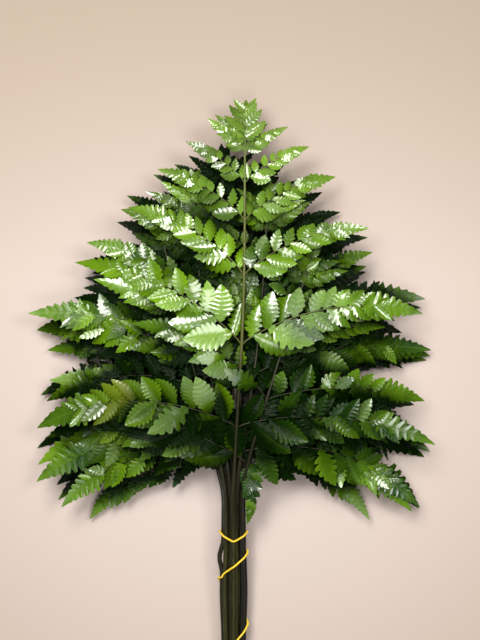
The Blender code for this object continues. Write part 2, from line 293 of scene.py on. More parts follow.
def smooth(t):
    """0 to 1 with level ends."""
    t = np.clip(t, 0.0, 1.0)
    return t * t * (3 - 2 * t)


def bump(s, start, end):
    """A rise from 0 at start to 1 halfway and back to 0 at end."""
    return np.sin(math.pi * np.clip((s - start) / (end - start), 0.0, 1.0)) ** 2


def outline_radius(angle):
    """How far the bunch reaches from the tie in a direction, measured from straight ahead."""
    shoulder = OUTLINE_SHOULDER * float(bump(abs(angle), *SHOULDER_SPAN))
    return OUTLINE_SIDE + OUTLINE_TIP * math.exp(-abs(angle) / OUTLINE_FALL) + shoulder


def dome(x, y):
    """Height of the pile of blades over a point of the surface."""
    along = (y - DOME_MIDDLE) / DOME_LENGTH
    return (DOME_HEIGHT - DOME_FALL * along**2) * (1 - DOME_SIDE_FALL * (x / DOME_WIDTH) ** 2)


def ripple(x, y):
    """How far the pile sinks under its dome, in soft hollows that all layers share."""
    def wave(main, other, slant, rate, start):
        return np.sin(1 / RIPPLE_LENGTH * (main + slant * other) * rate + start)

    return RIPPLE * (wave(x, y, *RIPPLE_ACROSS) * wave(y, x, *RIPPLE_ALONG) - 1)


class Frond:
    """Where one frond's stem is in the bundle, and how it leans, bends and reaches."""

    def __init__(self, index, x, z, row):
        draw = random.Random(100 * SEED + index)
        lean, bow, reach, blade, cut = (draw.uniform(-1, 1) for _ in range(5))
        front = index == 0
        self.name = f"frond_{index + 1:02d}"
        self.draw = draw
        self.fine = np.random.default_rng(1000 * SEED + index)
        self.index = index
        self.share = 1 - index / (sum(STEM_ROWS) - 1)
        self.x = x
        self.z = z
        self.lean = FRONT_LEAN if front else FAN_PER_METRE * x + FAN_JITTER * lean
        self.bow = FRONT_BOW if front else BOW_JITTER * bow
        self.reach = outline_radius(self.lean) * ROW_REACH[row]
        if not front:
            self.reach *= 1 + REACH_JITTER * reach
        self.blade = self.reach * (FRONT_BLADE_SHARE if front else BLADE_SHARE + BLADE_JITTER * blade)
        self.cut = CUT_LENGTH + CUT_JITTER * cut
        self.pairs = PINNA_PAIRS[self.blade > LONG_BLADE]
        self.nodes = [self.node_share(pair) for pair in range(self.pairs)]

    def node_share(self, pair):
        """Where a pair of pinnae stands, as a share of the blade's length from its apex."""
        t = pair / (self.pairs - 1)
        share = PINNA_FIRST + PINNA_LINEAR * t + PINNA_SQUARE * t**2
        return share * (1 + NODE_JITTER * (1 - t) * self.draw.uniform(-1, 1))

    def plan(self, s):
        """The stalk's place on the surface, a distance s past the tie."""
        x = self.x * (1 + SWELL * bump(s, -SWELL_LENGTH, 0.0))
        if self.index == STRAY_STEM:
            x = x - STRAY_BOW * bump(s, *STRAY_SPAN)
        free = np.maximum(0.0, s - FAN_START)
        along = free - FAN_EASE * (1 - np.exp(-free / FAN_EASE))
        bow = self.bow * bump(s, FAN_START, self.reach)
        x = x + math.sin(self.lean) * along + bow * math.cos(self.lean)
        return x, s - (1 - math.cos(self.lean)) * along - bow * math.sin(self.lean)

    def heading(self, s):
        """The stalk's direction in plan, measured from +Y towards +X."""
        step = 0.001
        x0, y0 = self.plan(s - step)
        x1, y1 = self.plan(s + step)
        return np.arctan2(x1 - x0, y1 - y0)

    def layer(self, x, y):
        """The height at which this frond's blade lies."""
        return FLOOR_LAYER + self.share * (dome(x, y) + ripple(x, y))

    def spine(self, s):
        """The stalk's axis, as one point or as rows of points."""
        x, y = self.plan(s)
        rise = smooth(s / RISE_LENGTH)
        bundled = self.z + BUNDLE_RISE * (1 + s / CUT_LENGTH)
        return np.stack([x, y, (1 - rise) * bundled + rise * self.layer(x, y)], axis=-1)

    def radius(self, s):
        """The stalk's radius, thinning from the cut end to the apex."""
        base = self.reach - self.blade
        below = RADIUS_TIE + (RADIUS_CUT - RADIUS_TIE) * -s / self.cut
        middle = RADIUS_TIE + (RADIUS_BLADE - RADIUS_TIE) * s / base
        left = np.clip((self.reach - s) / self.blade, 0.0, 1.0)
        above = RADIUS_APEX + (RADIUS_BLADE - RADIUS_APEX) * left**0.6
        return np.where(s < 0, below, np.where(s < base, middle, above))


class Pinna:
    """One side branch of a frond: an arc in plan that starts on the stalk and turns outwards."""

    def __init__(self, frond, pair, side):
        t = pair / (frond.pairs - 1)
        spread, turn, size = (frond.draw.uniform(-1, 1) for _ in range(3))
        share = frond.nodes[pair]
        from_apex = share * frond.blade
        s = frond.reach - from_apex
        self.side = side
        self.share = share
        self.x, self.y = frond.plan(s + ROOT_AHEAD)
        loose = FRONT_LOOSE if frond.index == 0 else 1.0
        angle = PINNA_ANGLE + PINNA_ANGLE_LOW * t**6 + loose * PINNA_SPREAD * spread
        self.start = frond.heading(s) + side * angle
        self.turn = side * (PINNA_TURN + PINNA_TURN_LOW * t**1.5 + loose * PINNA_SWING * turn)
        if frond.index == 0:
            self.start += FRONT_SKEW
        long = FRONT_PINNA_LENGTH if frond.index == 0 else PINNA_LENGTH
        self.length = from_apex * (long - PINNA_LENGTH_FALL * share) * (1 + PINNA_SIZE_JITTER * size)
        self.fit_outline(OUTLINE_ALLOWANCE + OUTLINE_JITTER * frond.draw.uniform(-1, 1))
        if frond.index == HANGING_FROND and pair == frond.pairs - 1 and side == 1:
            self.start = frond.heading(s) + HANGING_ANGLE
            self.turn = HANGING_TURN
            self.length = HANGING_LENGTH
        self.upper = LEAFLET_UPPER
        self.lower = LEAFLET_LOWER
        self.leaflets = round(LEAFLET_PAIRS + self.length / LEAFLET_STEP)
        self.fall = LEAFLET_FALL
        self.end = END_START
        self.end_gain = 1.0

    def fit_outline(self, allowance):
        """Shortens the pinna until its tip lies within the bunch's outline."""
        while self.length > SHORTEST_PINNA:
            x, y, _ = self.at(1.0)
            far = math.hypot(x, y) > allowance * outline_radius(math.atan2(x, y))
            if not far and y > PINNA_LOWEST_REACH:
                break
            self.length *= SHORTENING

    def at(self, t):
        """The midrib's place and direction at a share t of its length."""
        angle = self.start + self.turn * t
        bend = self.turn / self.length
        x = self.x + (math.cos(self.start) - np.cos(angle)) / bend
        y = self.y + (np.sin(angle) - math.sin(self.start)) / bend
        return x, y, angle


class Tip:
    """The end of a frond, which is cut like a pinna and runs on along the stalk."""

    def __init__(self, frond):
        self.frond = frond
        self.length = PINNA_FIRST * frond.blade
        self.side = 1
        self.upper = self.lower = TIP_LEAFLET[frond.index > 0]
        self.leaflets = TIP_LEAFLETS
        self.fall = TIP_FALL
        self.end = TIP_END[frond.index > 0]
        self.end_gain = TIP_END_GAIN

    def at(self, t):
        """The stalk's place and direction at a share t of the tip's length."""
        s = self.frond.reach - self.length * (1 - t)
        x, y = self.frond.plan(s)
        return x, y, self.frond.heading(s)


def stem_places():
    """Each stem's place at the tie, from the top layer down and right to left: x, z and layer."""
    row_step = STEM_PITCH * math.sin(math.radians(60))
    places = []
    for row, count in enumerate(STEM_ROWS):
        z = LOWEST_STEM + (len(STEM_ROWS) - 1 - row) * row_step
        places += [(((count - 1) / 2 - i) * STEM_PITCH, z, row) for i in range(count)]
    return places


def layout_shift(frond):
    """From the layout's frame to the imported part's, found where the CAD has a stalk's cut end."""
    places = np.array([v.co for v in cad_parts[frond.name].data.vertices])
    ring = places[places[:, 1] < places[:, 1].min() + CUT_RING]
    return np.unique(np.round(ring, 5), axis=0).mean(axis=0) - frond.spine(-frond.cut)


# Meshes


def build_object(name, points, faces, shift, materials):
    """A smooth-shaded mesh object from arrays of points and triangles."""
    mesh = bpy.data.meshes.new(name)
    mesh.vertices.add(len(points))
    mesh.vertices.foreach_set("co", (points + shift).astype(np.float32).ravel())
    mesh.loops.add(3 * len(faces))
    mesh.loops.foreach_set("vertex_index", faces.astype(np.int32).ravel())
    mesh.polygons.add(len(faces))
    mesh.polygons.foreach_set("loop_start", np.arange(0, 3 * len(faces), 3, dtype=np.int32))
    mesh.update(calc_edges=True)
    mesh.shade_smooth()
    for material in materials:
        mesh.materials.append(material)
    piece = bpy.data.objects.new(name, mesh)
    bpy.context.scene.collection.objects.link(piece)
    return piece


def add_values(mesh, name, values):
    """A float for each vertex, which a material reads by its name."""
    layer = mesh.attributes.new(name, "FLOAT", "POINT")
    layer.data.foreach_set("value", values.astype(np.float32))


def tube(points, radii, sides, flute=0.0, cyclic=False):
    """A closed round bar along the points, as arrays of points and triangles."""
    count = len(points)
    if cyclic:
        ahead = np.roll(points, -1, axis=0) - np.roll(points, 1, axis=0)
    else:
        ahead = np.gradient(points, axis=0)
    ahead /= np.linalg.norm(ahead, axis=1, keepdims=True)
    across = np.empty_like(points)
    across[0] = np.cross(ahead[0], (0.0, 0.0, 1.0))
    if np.linalg.norm(across[0]) < 0.1:
        across[0] = np.cross(ahead[0], (1.0, 0.0, 0.0))
    for i in range(1, count):
        across[i] = across[i - 1] - ahead[i] * across[i - 1].dot(ahead[i])
        across[i] /= np.linalg.norm(across[i])
    across[0] /= np.linalg.norm(across[0])
    up = np.cross(across, ahead)
    angle = 2 * math.pi * np.arange(sides) / sides
    grow = 1 - flute * (1 - np.cos(angle * sides / 2))
    out = across[:, None] * np.cos(angle)[:, None] + up[:, None] * np.sin(angle)[:, None]
    ring = points[:, None] + radii[:, None, None] * grow[:, None] * out
    verts = ring.reshape(-1, 3)
    i = np.arange(count if cyclic else count - 1)[:, None] * sides
    next_ring = (i + sides) % (count * sides)
    j = np.arange(sides)[None]
    k = (j + 1) % sides
    a, b, c, d = i + j, i + k, next_ring + k, next_ring + j
    halves = [np.stack([a, b, c], -1).reshape(-1, 3), np.stack([a, c, d], -1).reshape(-1, 3)]
    faces = np.concatenate(halves)
    if cyclic:
        return verts, faces
    ends = np.array([points[0], points[-1]])
    verts = np.concatenate([verts, ends])
    j, k = np.arange(sides), (np.arange(sides) + 1) % sides
    first, last = count * sides, count * sides + 1
    top = (count - 1) * sides
    start_cap = np.stack([k, j, np.full(sides, first)], -1)
    end_cap = np.stack([top + j, top + k, np.full(sides, last)], -1)
    return verts, np.concatenate([faces, start_cap, end_cap])


def join(parts):
    """Several (points, faces) as one."""
    points, faces, start = [], [], 0
    for p, f in parts:
        points.append(p)
        faces.append(f + start)
        start += len(p)
    return np.concatenate(points), np.concatenate(faces)


# Leaflets


FREE, LOBED, JOINED, END = range(4)
# Of each kind of leaflet: where it is widest, its breadth at the root, where its teeth start,
# how deep the notches are at its first and last tooth, and how full its sides are
KINDS = {
    FREE: (0.38, 0.16, 0.14, 0.24, 0.16, 2.1),
    LOBED: (0.34, 0.18, 0.12, 0.54, 0.28, 1.7),
    JOINED: (0.32, 0.72, 0.12, 0.30, 0.20, 1.9),
    END: (0.10, 0.50, 0.06, 0.55, 0.16, 1.25),
}
# Of each kind: how many teeth each edge has, up to each length of leaflet
TEETH = {
    FREE: ((0.011, 3), (0.020, 4), (0.030, 5), (math.inf, 7)),
    LOBED: ((0.012, 3), (0.026, 4), (math.inf, 5)),
    JOINED: ((0.011, 3), (0.020, 4), (0.030, 5), (math.inf, 7)),
    END: ((0.030, 5), (math.inf, 7)),
}


def leaflet_template(teeth, fine, kind):
    """A leaflet's outline and faces: u along it, v across it, both for a leaflet of unit size.

    Each tooth has a row of points at its notch and one or two along its forward-leaning edge."""
    widest, root, first, deep, shallow, full = KINDS[kind]
    near = ROOT_ROW * first
    rows = [(0.0, 0.0, root, 0.0), (near, near, envelope(near, widest, root, full), 0.0)]
    for k in range(teeth):
        start = first + (TEETH_END - first) * (k / teeth) ** TOOTH_CROWDING
        stop = first + (TEETH_END - first) * ((k + 1) / teeth) ** TOOTH_CROWDING
        depth = deep + (shallow - deep) * k / (teeth - 1)
        rows.append((start, start, (1 - depth) * envelope(start, widest, root, full), -1.0))
        for share, wide in FINE_TOOTH if fine else PLAIN_TOOTH:
            edge = start + share * (stop - start)
            middle = start + TOOTH_LEAN * share * (stop - start)
            rows.append((middle, edge, wide * envelope(edge, widest, root, full), 1.0))
    columns = FINE_COLUMNS if fine else PLAIN_COLUMNS
    u, v, pleat = [], [], []
    for middle, edge, wide, fold in rows:
        for c in columns:
            u.append(middle + (edge - middle) * c * c)
            v.append(c * wide)
            pleat.append(fold * abs(c) * wide)
    u.append(1.0)
    v.append(0.0)
    pleat.append(0.0)
    n, last = len(columns), len(u) - 1
    faces = []
    for r in range(len(rows) - 1):
        for c in range(n - 1):
            a, b = r * n + c, r * n + c + 1
            if c < n // 2:
                faces += [(a, b, a + n), (b, b + n, a + n)]
            else:
                faces += [(a, b, b + n), (a, b + n, a + n)]
    low = (len(rows) - 1) * n
    faces += [(low + c, low + c + 1, last) for c in range(n - 1)]
    loop = list(range(n)) + [r * n + n - 1 for r in range(1, len(rows))]
    loop += [last] + [r * n for r in range(len(rows) - 1, 0, -1)]
    return np.array(u), np.array(v), np.array(pleat), np.array(faces), np.array(loop)


def envelope(u, widest, root, full):
    """Half the width of an untoothed leaflet at u, as a share of its widest."""
    if u < widest:
        return root + (1 - root) * (u / widest) ** ENVELOPE_RISE
    return 1 - ((u - widest) / (1 - widest)) ** full


def leaflet_solids(frond, leaf, teeth, kind):
    """Every leaflet of one kind as closed thin solids: points, faces, and values per point."""
    u, v, pleat, top, loop = leaflet_template(teeth, frond.index < FINE_FRONDS, kind)
    m = len(u)
    length, half = leaf["length"][:, None], leaf["half"][:, None]
    a = u * length
    b = v * half
    middle = leaf["heading"][:, None] + leaf["bend"][:, None] * u / 2
    across = leaf["heading"][:, None] + leaf["bend"][:, None] * u
    x = leaf["x"][:, None] + a * np.sin(middle) + b * np.cos(across)
    y = leaf["y"][:, None] + a * np.cos(middle) - b * np.sin(across)
    z = frond.layer(x, y) + leaf["lift"][:, None]
    z = z + a * leaf["tilt"][:, None] + b * leaf["roll"][:, None] + np.abs(b) * leaf["fold"][:, None]
    z = z - leaf["curl"][:, None] * a * u + leaf["cup"][:, None] * b * b / half + PLEAT * half * pleat
    z = np.maximum(z, LEAF_THICKNESS)
    z = np.where(z > TOP_LIMIT, TOP_LIMIT + TOP_KEPT * (z - TOP_LIMIT), z)
    shell = np.stack([x, y, z], -1)
    rise = np.array([0, 0, LEAF_THICKNESS / 2])
    points = np.concatenate([shell + rise, shell - rise], axis=1).reshape(-1, 3)
    p, q = loop, np.roll(loop, -1)
    rim = np.concatenate([np.stack([q, p, p + m], -1), np.stack([q, p + m, q + m], -1)])
    one = np.concatenate([top, top[:, ::-1] + m, rim])
    start = (2 * m * np.arange(len(a)))[:, None, None]
    faces = (one + start).reshape(-1, 3)
    under = np.tile(np.arange(len(one)) >= len(top), len(a))
    edge = np.zeros(2 * m, int)
    edge[loop] = 1
    edge[loop + m] = 2
    values = {
        "u": np.tile(np.concatenate([u, u]), len(a)),
        "v": np.tile(np.concatenate([v, v]), len(a)),
        "teeth": np.full(2 * m * len(a), float(teeth)),
        "tone": np.repeat(leaf["tone"], 2 * m),
        "age": np.repeat(leaf["age"], 2 * m),
        "edge": np.tile(edge, len(a)),
    }
    return points, faces, under, values


def pinna_rise(pinna, t):
    """How far a pinna's midrib stands over its layer: an arch that droops at the end."""
    return pinna.length * (pinna.climb * t - pinna.droop * t * t)


def pose_pinna(frond, pinna):
    """Draws how a pinna arches, rolls and folds. Deeper fronds are pressed flatter."""
    draw = frond.fine
    free = 1.0 if frond.index == 0 else DEEP_FREEDOM + LAYER_FREEDOM * frond.share
    pinna.free = free
    pinna.climb = free * draw.normal(*PINNA_CLIMB)
    pinna.droop = free * draw.normal(*PINNA_DROOP)
    pinna.roll = free * draw.normal(*PINNA_ROLL)
    pinna.vee = free * draw.normal(*PINNA_VEE)
    pinna.tone = draw.normal(*PINNA_TONE)
    if pinna.length == HANGING_LENGTH:
        # Painted shade: the hanging pinna is darkened through its tone.
        pinna.tone = HANGING_PAINTED_SHADE
        pinna.vee = pinna.roll = 0.0


def varied(draw, middle, spread):
    """A value drawn round its middle."""
    return middle + spread * draw.normal()


def drawn_age(draw, x, y):
    """How yellowed a leaflet is, drawn by its place. One patch has aged."""
    across = (x - FADED_PLACE[0]) / FADED_SIZE[0]
    along = (y - FADED_PLACE[1]) / FADED_SIZE[1]
    faded = math.exp(-(across**2 + along**2))
    return min(1.0, FADED_GAIN * faded * draw.uniform(*FADED_RANGE))


def drawn_kind(frond, joined):
    """What kind of leaflet it is. Some of the top fronds' free leaflets are lobed."""
    if joined:
        return JOINED
    if frond.index > LAST_WHOLE or frond.fine.random() < LOBED_SHARE:
        return LOBED
    return FREE


def leaflets_of(frond, pinna):
    """The leaflets of one pinna: a row along each edge and one end blade."""
    draw = frond.fine
    rows = []
    count = pinna.leaflets
    free = pinna.free
    loose = FRONT_ANGLE_SPREAD if frond.index == 0 else ANGLE_SPREAD
    gain = 1 + SMALL_GAIN * max(0.0, 1 - pinna.length / SMALL_PINNA)
    for side in (-1, 1):
        lower = side == pinna.side
        for i in range(count):
            place = i + LOWER_AHEAD * lower + PLACE_SPREAD * draw.normal()
            step = min(1.0, max(0.0, place) / count)
            t = LEAFLET_FIRST + LEAFLET_SPAN * (1 - (1 - step) ** LEAFLET_CROWDING)
            gap = LEAFLET_CROWDING * LEAFLET_SPAN * (1 - step) ** (LEAFLET_CROWDING - 1) / count
            joined = t > JOINED_FROM or pinna.length < ALL_JOINED
            size = (pinna.lower if lower else pinna.upper) * (1 - t) ** pinna.fall
            length = pinna.length * size * gain * varied(draw, 1, LENGTH_SPREAD)
            if frond.index > LAST_WHOLE and length > LONG_LEAFLET:
                length = LONG_LEAFLET + LONG_KEPT * (length - LONG_LEAFLET)
            x, y, heading = pinna.at(t)
            angle = (LOWER_ANGLE if lower else UPPER_ANGLE) * (1 - ANGLE_FALL * t)
            angle *= varied(draw, 1, loose)
            half = length * (LOWER_BREADTH if lower else UPPER_BREADTH)
            if joined:
                half = JOINED_BREADTH * gap * pinna.length
            tilt = pinna.vee + side * pinna.side * pinna.roll
            rows.append({
                "x": x, "y": y,
                "heading": heading + side * angle,
                "bend": -side * varied(draw, *LEAFLET_BEND),
                "length": length,
                "half": half * varied(draw, 1, BREADTH_SPREAD),
                "lift": pinna_rise(pinna, t) + (LOWER_LIFT if lower else UPPER_LIFT),
                "tilt": tilt + free * TILT_SPREAD * draw.normal(),
                "roll": pinna.climb - 2 * pinna.droop * t + free * ROLL_SPREAD * draw.normal(),
                "fold": free * varied(draw, *LEAFLET_FOLD),
                "curl": free * varied(draw, *LEAFLET_CURL),
                "cup": free * varied(draw, *LEAFLET_CUP),
                "tone": varied(draw, pinna.tone, TONE_SPREAD),
                "age": drawn_age(draw, x, y),
                "kind": drawn_kind(frond, joined),
            })
    x, y, heading = pinna.at(pinna.end)
    _, _, last = pinna.at(1.0)
    length = pinna.length * (1 - pinna.end) * END_LENGTH
    rows.append({
        "x": x, "y": y,
        "heading": heading,
        "bend": last - heading,
        "length": length,
        "half": length * END_BREADTH * varied(draw, 1, BREADTH_SPREAD) * pinna.end_gain,
        "lift": pinna_rise(pinna, pinna.end) + END_LIFT,
        "tilt": pinna.climb - 2 * pinna.droop * pinna.end,
        "roll": pinna.roll,
        "fold": pinna.vee + free * END_FOLD_SPREAD * draw.normal(),
        "curl": pinna.droop * END_CURL,
        "cup": free * varied(draw, *END_CUP),
        "tone": varied(draw, pinna.tone, END_TONE_SPREAD),
        "age": drawn_age(draw, x, y),
        "kind": END,
    })
    return rows


def tooth_count(row):
    """Teeth along each edge of a leaflet."""
    return next(count for limit, count in TEETH[row["kind"]] if row["length"] < limit)


def make_leaves(frond, pinnae, shift, materials):
    """All leaflets of a frond in one object."""
    rows = [row for pinna in pinnae for row in leaflets_of(frond, pinna)]
    parts, unders, values = [], [], []
    for key in sorted({(tooth_count(row), row["kind"]) for row in rows}):
        chosen = [row for row in rows if (tooth_count(row), row["kind"]) == key]
        leaf = {name: np.array([row[name] for row in chosen], float) for name in chosen[0]}
        points, faces, under, value = leaflet_solids(frond, leaf, *key)
        parts.append((points, faces))
        unders.append(under)
        values.append(value)
    points, faces = join(parts)
    piece = build_object(f"{frond.name}_leaves", points, faces, shift, materials)
    mesh = piece.data
    mesh.polygons.foreach_set("material_index", np.concatenate(unders).astype(np.int32))
    for name in ("u", "v", "teeth", "tone", "age"):
        add_values(mesh, name, np.concatenate([value[name] for value in values]))
    edge = np.concatenate([value["edge"] for value in values])
    ends = np.empty(2 * len(mesh.edges), np.int32)
    mesh.edges.foreach_get("vertices", ends)
    a, b = edge[ends[0::2]], edge[ends[1::2]]
    sharp = mesh.attributes.new("sharp_edge", "BOOLEAN", "EDGE")
    sharp.data.foreach_set("value", (a == b) & (a > 0))
    return piece


def make_stalk(frond, pinnae, shift, material):
    """A frond's stalk with its pinnae's midribs, in one object."""
    end = frond.reach - STALK_SHORT * PINNA_FIRST * frond.blade
    s = np.linspace(-frond.cut, end, int((end + frond.cut) / STALK_STEP) + 1)
    points = frond.spine(s)
    parts = [tube(points, frond.radius(s), STALK_SIDES, STALK_FLUTE)]
    up = [np.append(np.repeat((s + frond.cut) / (end + frond.cut), STALK_SIDES), [0.0, 1.0])]
    for pinna in pinnae:
        if isinstance(pinna, Tip):
            continue
        t = np.linspace(0.0, COSTA_END, max(COSTA_LEAST_POINTS, int(pinna.length / COSTA_STEP)))
        x, y, _ = pinna.at(t)
        x[0], y[0] = frond.plan(frond.reach - pinna.share * frond.blade)
        z = frond.layer(x, y) + pinna_rise(pinna, t)
        line = np.stack([x, y, np.maximum(z, COSTA_FLOOR)], -1)
        root = COSTA_RADIUS * (pinna.length / COSTA_LENGTH) ** 0.5
        parts.append(tube(line, root + (COSTA_TIP - root) * t**0.8, COSTA_SIDES))
        # A midrib starts with the stalk's colour where it leaves it, so the midribs low in the bunch are
        # darker: partly the stalk's own colour, partly painted shade.
        start = (frond.reach - pinna.share * frond.blade + frond.cut) / (end + frond.cut)
        along = start + COSTA_PALING * (1 - start) * t
        up.append(np.append(np.repeat(along, COSTA_SIDES), [start, start]))
    points, faces = join(parts)
    piece = build_object(f"{frond.name}_stalk", points, faces, shift, [material])
    add_values(piece.data, "up", np.concatenate(up))
    add_values(piece.data, "tone", np.full(len(points), frond.fine.uniform(0, 1)))
    return piece


def shade_pieces(leaves, stalks):
    """Gives every point how much of the light the leaves round it keep out."""
    pieces = leaves + stalks
    places = []
    for piece in pieces:
        co = np.empty(3 * len(piece.data.vertices), np.float32)
        piece.data.vertices.foreach_get("co", co)
        places.append(co.reshape(-1, 3))
    low = np.concatenate(places).min(axis=0)[:2] - SHADE_MARGIN * SHADE_CELL
    high = np.concatenate(places).max(axis=0)[:2] + SHADE_MARGIN * SHADE_CELL
    size = ((high - low) / SHADE_CELL).astype(int) + 1
    top = np.zeros(size)
    for place in places[: len(leaves)]:
        cell = ((place[:, :2] - low) / SHADE_CELL).astype(int)
        np.maximum.at(top, (cell[:, 0], cell[:, 1]), place[:, 2])
    for axis in (0, 1):
        top = np.maximum(top, np.maximum(np.roll(top, 1, axis), np.roll(top, -1, axis)))
    for k, (piece, place) in enumerate(zip(pieces, places)):
        deep = min(1.0, HEART_TOP + HEART_STEP * (k % len(leaves)))
        shade = np.zeros(len(place))
        for away in SHADE_REACH:
            for turn in range(SHADE_TURNS):
                angle = 2 * math.pi * turn / SHADE_TURNS
                step = away * np.array([math.cos(angle), math.sin(angle)])
                cell = ((place[:, :2] + step - low) / SHADE_CELL).astype(int)
                shade += np.clip((top[cell[:, 0], cell[:, 1]] - place[:, 2]) / away, 0.0, SHADE_MOST)
        shade /= SHADE_TURNS * SHADE_MOST * len(SHADE_REACH)
        if k >= len(leaves):
            normals = np.empty(3 * len(place), np.float32)
            piece.data.vertex_normals.foreach_get("vector", normals)
            crowded = np.clip((STALKS_PART - place[:, 1]) / STALKS_CLOSE, STALKS_LEFT, 1.0)
            shade += STALK_SIDE_SHADE * crowded * (1 - np.clip(normals[2::3], 0.0, 1.0))
        far = (place[:, 0] / HEART_SIZE[0]) ** 2 + ((place[:, 1] - HEART_Y) / HEART_SIZE[1]) ** 2
        add_values(piece.data, "shade", shade + HEART_SHADE * deep * np.exp(-far))


# The elastic


def round_bundle(fronds, y, angle):
    """The point where an elastic round all the stems faces the angle, at y along them."""
    out = ELASTIC_RADIUS + ELASTIC_GAP
    normal = np.array([math.cos(angle), 0.0, math.sin(angle)])
    centres = [frond.spine(y) for frond in fronds]
    radii = [float(frond.radius(y)) for frond in fronds]
    outer = max(range(len(fronds)), key=lambda i: centres[i].dot(normal) + radii[i])
    place = centres[outer] + (radii[outer] + out) * normal
    place[1] = y
    return place


def relax(points, cyclic):
    """Rounds off a line of points, as a stretched elastic does."""
    for _ in range(RELAX_PASSES):
        if cyclic:
            points = (np.roll(points, 1, 0) + 2 * points + np.roll(points, -1, 0)) / 4
        else:
            inner = (points[:-2] + 2 * points[1:-1] + points[2:]) / 4
            points = np.concatenate([points[:1], inner, points[-1:]])
    return points


def turned(fronds, points):
    """How far round the bundle each point is."""
    middle = np.mean([frond.spine(points[0][1]) for frond in fronds], axis=0)
    return np.unwrap([math.atan2(z - middle[2], x - middle[0]) for x, _, z in points])


def elastic_loop(fronds, height, sag):
    """A closed loop, which sags along the stems where it crosses the top of the bundle."""
    angles = 2 * math.pi * np.arange(LOOP_POINTS) / LOOP_POINTS
    points = np.array([round_bundle(fronds, height - sag / 2, a) for a in angles])
    over = np.maximum(0.0, np.sin(turned(fronds, points)))
    points[:, 1] = height - sag * over**SAG_POWER
    return relax(points, True)


def elastic_coil(fronds):
    """The line from the upper loop to the lower one, half a turn between stops."""
    points = []
    for turn, (start, end) in enumerate(zip(COIL_STOPS, COIL_STOPS[1:])):
        angles = math.pi * (1 + turn + np.arange(HALF_TURN_STEPS + 1) / HALF_TURN_STEPS)
        flat = turned(fronds, [round_bundle(fronds, (start + end) / 2, a) for a in angles])
        shares = (flat - flat[0]) / (flat[-1] - flat[0])
        half = [round_bundle(fronds, start + (end - start) * q, a) for q, a in zip(shares, angles)]
        points += half if not points else half[1:]
    return relax(np.array(points), False)


def make_elastic(fronds, shift, material):
    """The elastic's two loops and its coil in one object."""
    lines = [
        (elastic_loop(fronds, UPPER_LOOP, LOOP_SAG), True),
        (elastic_coil(fronds), False),
        (elastic_loop(fronds, LOWER_LOOP, -LOOP_SAG), True),
    ]
    parts = []
    for line, cyclic in lines:
        radii = np.full(len(line), ELASTIC_RADIUS)
        parts.append(tube(line, radii, ELASTIC_SIDES, cyclic=cyclic))
    points, faces = join(parts)
    return build_object("elastic_strand", points, faces, shift, [material])


# Materials


class Shader:
    """A Principled material whose node tree is built by short calls."""

    def __init__(self, name, **constants):
        self.material = bpy.data.materials.new(name)
        self.material.use_nodes = True
        self.tree = self.material.node_tree
        self.principled = self.tree.nodes["Principled BSDF"]
        for key, value in constants.items():
            self.principled.inputs[key.replace("_", " ")].default_value = value

    def node(self, kind, inputs=None, **settings):
        node = self.tree.nodes.new(kind)
        for key, value in settings.items():
            setattr(node, key, value)
        for key, value in (inputs or {}).items():
            if isinstance(value, bpy.types.NodeSocket):
                self.tree.links.new(value, node.inputs[key])
            else:
                node.inputs[key].default_value = value
        return node

    def value(self, name):
        return self.node("ShaderNodeAttribute", attribute_name=name).outputs["Fac"]

    def math(self, operation, *values):
        inputs = dict(enumerate(values))
        return self.node("ShaderNodeMath", inputs, operation=operation).outputs[0]

    def range(self, value, low, high, to_low=0.0, to_high=1.0):
        inputs = {"Value": value, "From Min": low, "From Max": high, "To Min": to_low, "To Max": to_high}
        return self.node("ShaderNodeMapRange", inputs).outputs[0]

    def mix(self, factor, a, b):
        node = self.node("ShaderNodeMix", data_type="RGBA")
        for socket, value in zip((0, 6, 7), (factor, a, b)):
            if isinstance(value, bpy.types.NodeSocket):
                self.tree.links.new(value, node.inputs[socket])
            else:
                node.inputs[socket].default_value = value
        return node.outputs[2]

    def ahead(self, start, end, to_low=0.0, to_high=1.0):
        """A value that changes along the bunch, from its stems towards its tips."""
        place = self.node("ShaderNodeTexCoord").outputs["Object"]
        along = self.node("ShaderNodeSeparateXYZ", {0: place}).outputs["Y"]
        return self.range(along, start, end, to_low, to_high)

    def noise(self, scale, detail=2.0, stretch=(1.0, 1.0, 1.0)):
        place = self.node("ShaderNodeTexCoord").outputs["Object"]
        stretched = self.node("ShaderNodeVectorMath", {0: place, 1: stretch}, operation="MULTIPLY")
        inputs = {"Vector": stretched.outputs[0], "Scale": scale, "Detail": detail}
        return self.node("ShaderNodeTexNoise", inputs).outputs["Fac"]

    def connect(self, value, socket):
        self.tree.links.new(value, self.principled.inputs[socket])

    def bump(self, height, strength, distance):
        inputs = {"Height": height, "Strength": strength, "Distance": distance}
        self.connect(self.node("ShaderNodeBump", inputs).outputs[0], "Normal")


def rgb(r, g, b):
    """A colour given in sRGB bytes, as linear light."""
    def linear(c):
        c /= 255
        return c / 12.92 if c <= 0.04045 else ((c + 0.055) / 1.055) ** 2.4

    return (linear(r), linear(g), linear(b), 1.0)


def vein_height(shader):
    """Side veins that run out and forwards to the teeth, with finer ones between them."""
    u = shader.value("u")
    v = shader.math("ABSOLUTE", shader.value("v"))
    teeth = shader.value("teeth")
    ahead = shader.math("SUBTRACT", u, shader.math("MULTIPLY", v, VEIN_SLANT))
    phase = shader.math("MULTIPLY", ahead, shader.math("MULTIPLY", teeth, VEINS_PER_TOOTH))

    def veins(rate):
        angle = shader.math("MULTIPLY", phase, rate * math.pi)
        return shader.math("ABSOLUTE", shader.math("SINE", angle))

    coarse, fine = veins(1), veins(FINE_VEINS)
    rib = shader.range(v, 0.0, RIB_BREADTH)
    deep = shader.math("MULTIPLY", coarse, COARSE_DEPTH)
    height = shader.math("ADD", deep, shader.math("MULTIPLY", fine, FINE_DEPTH))
    return shader.math("MULTIPLY", height, rib), coarse, rib


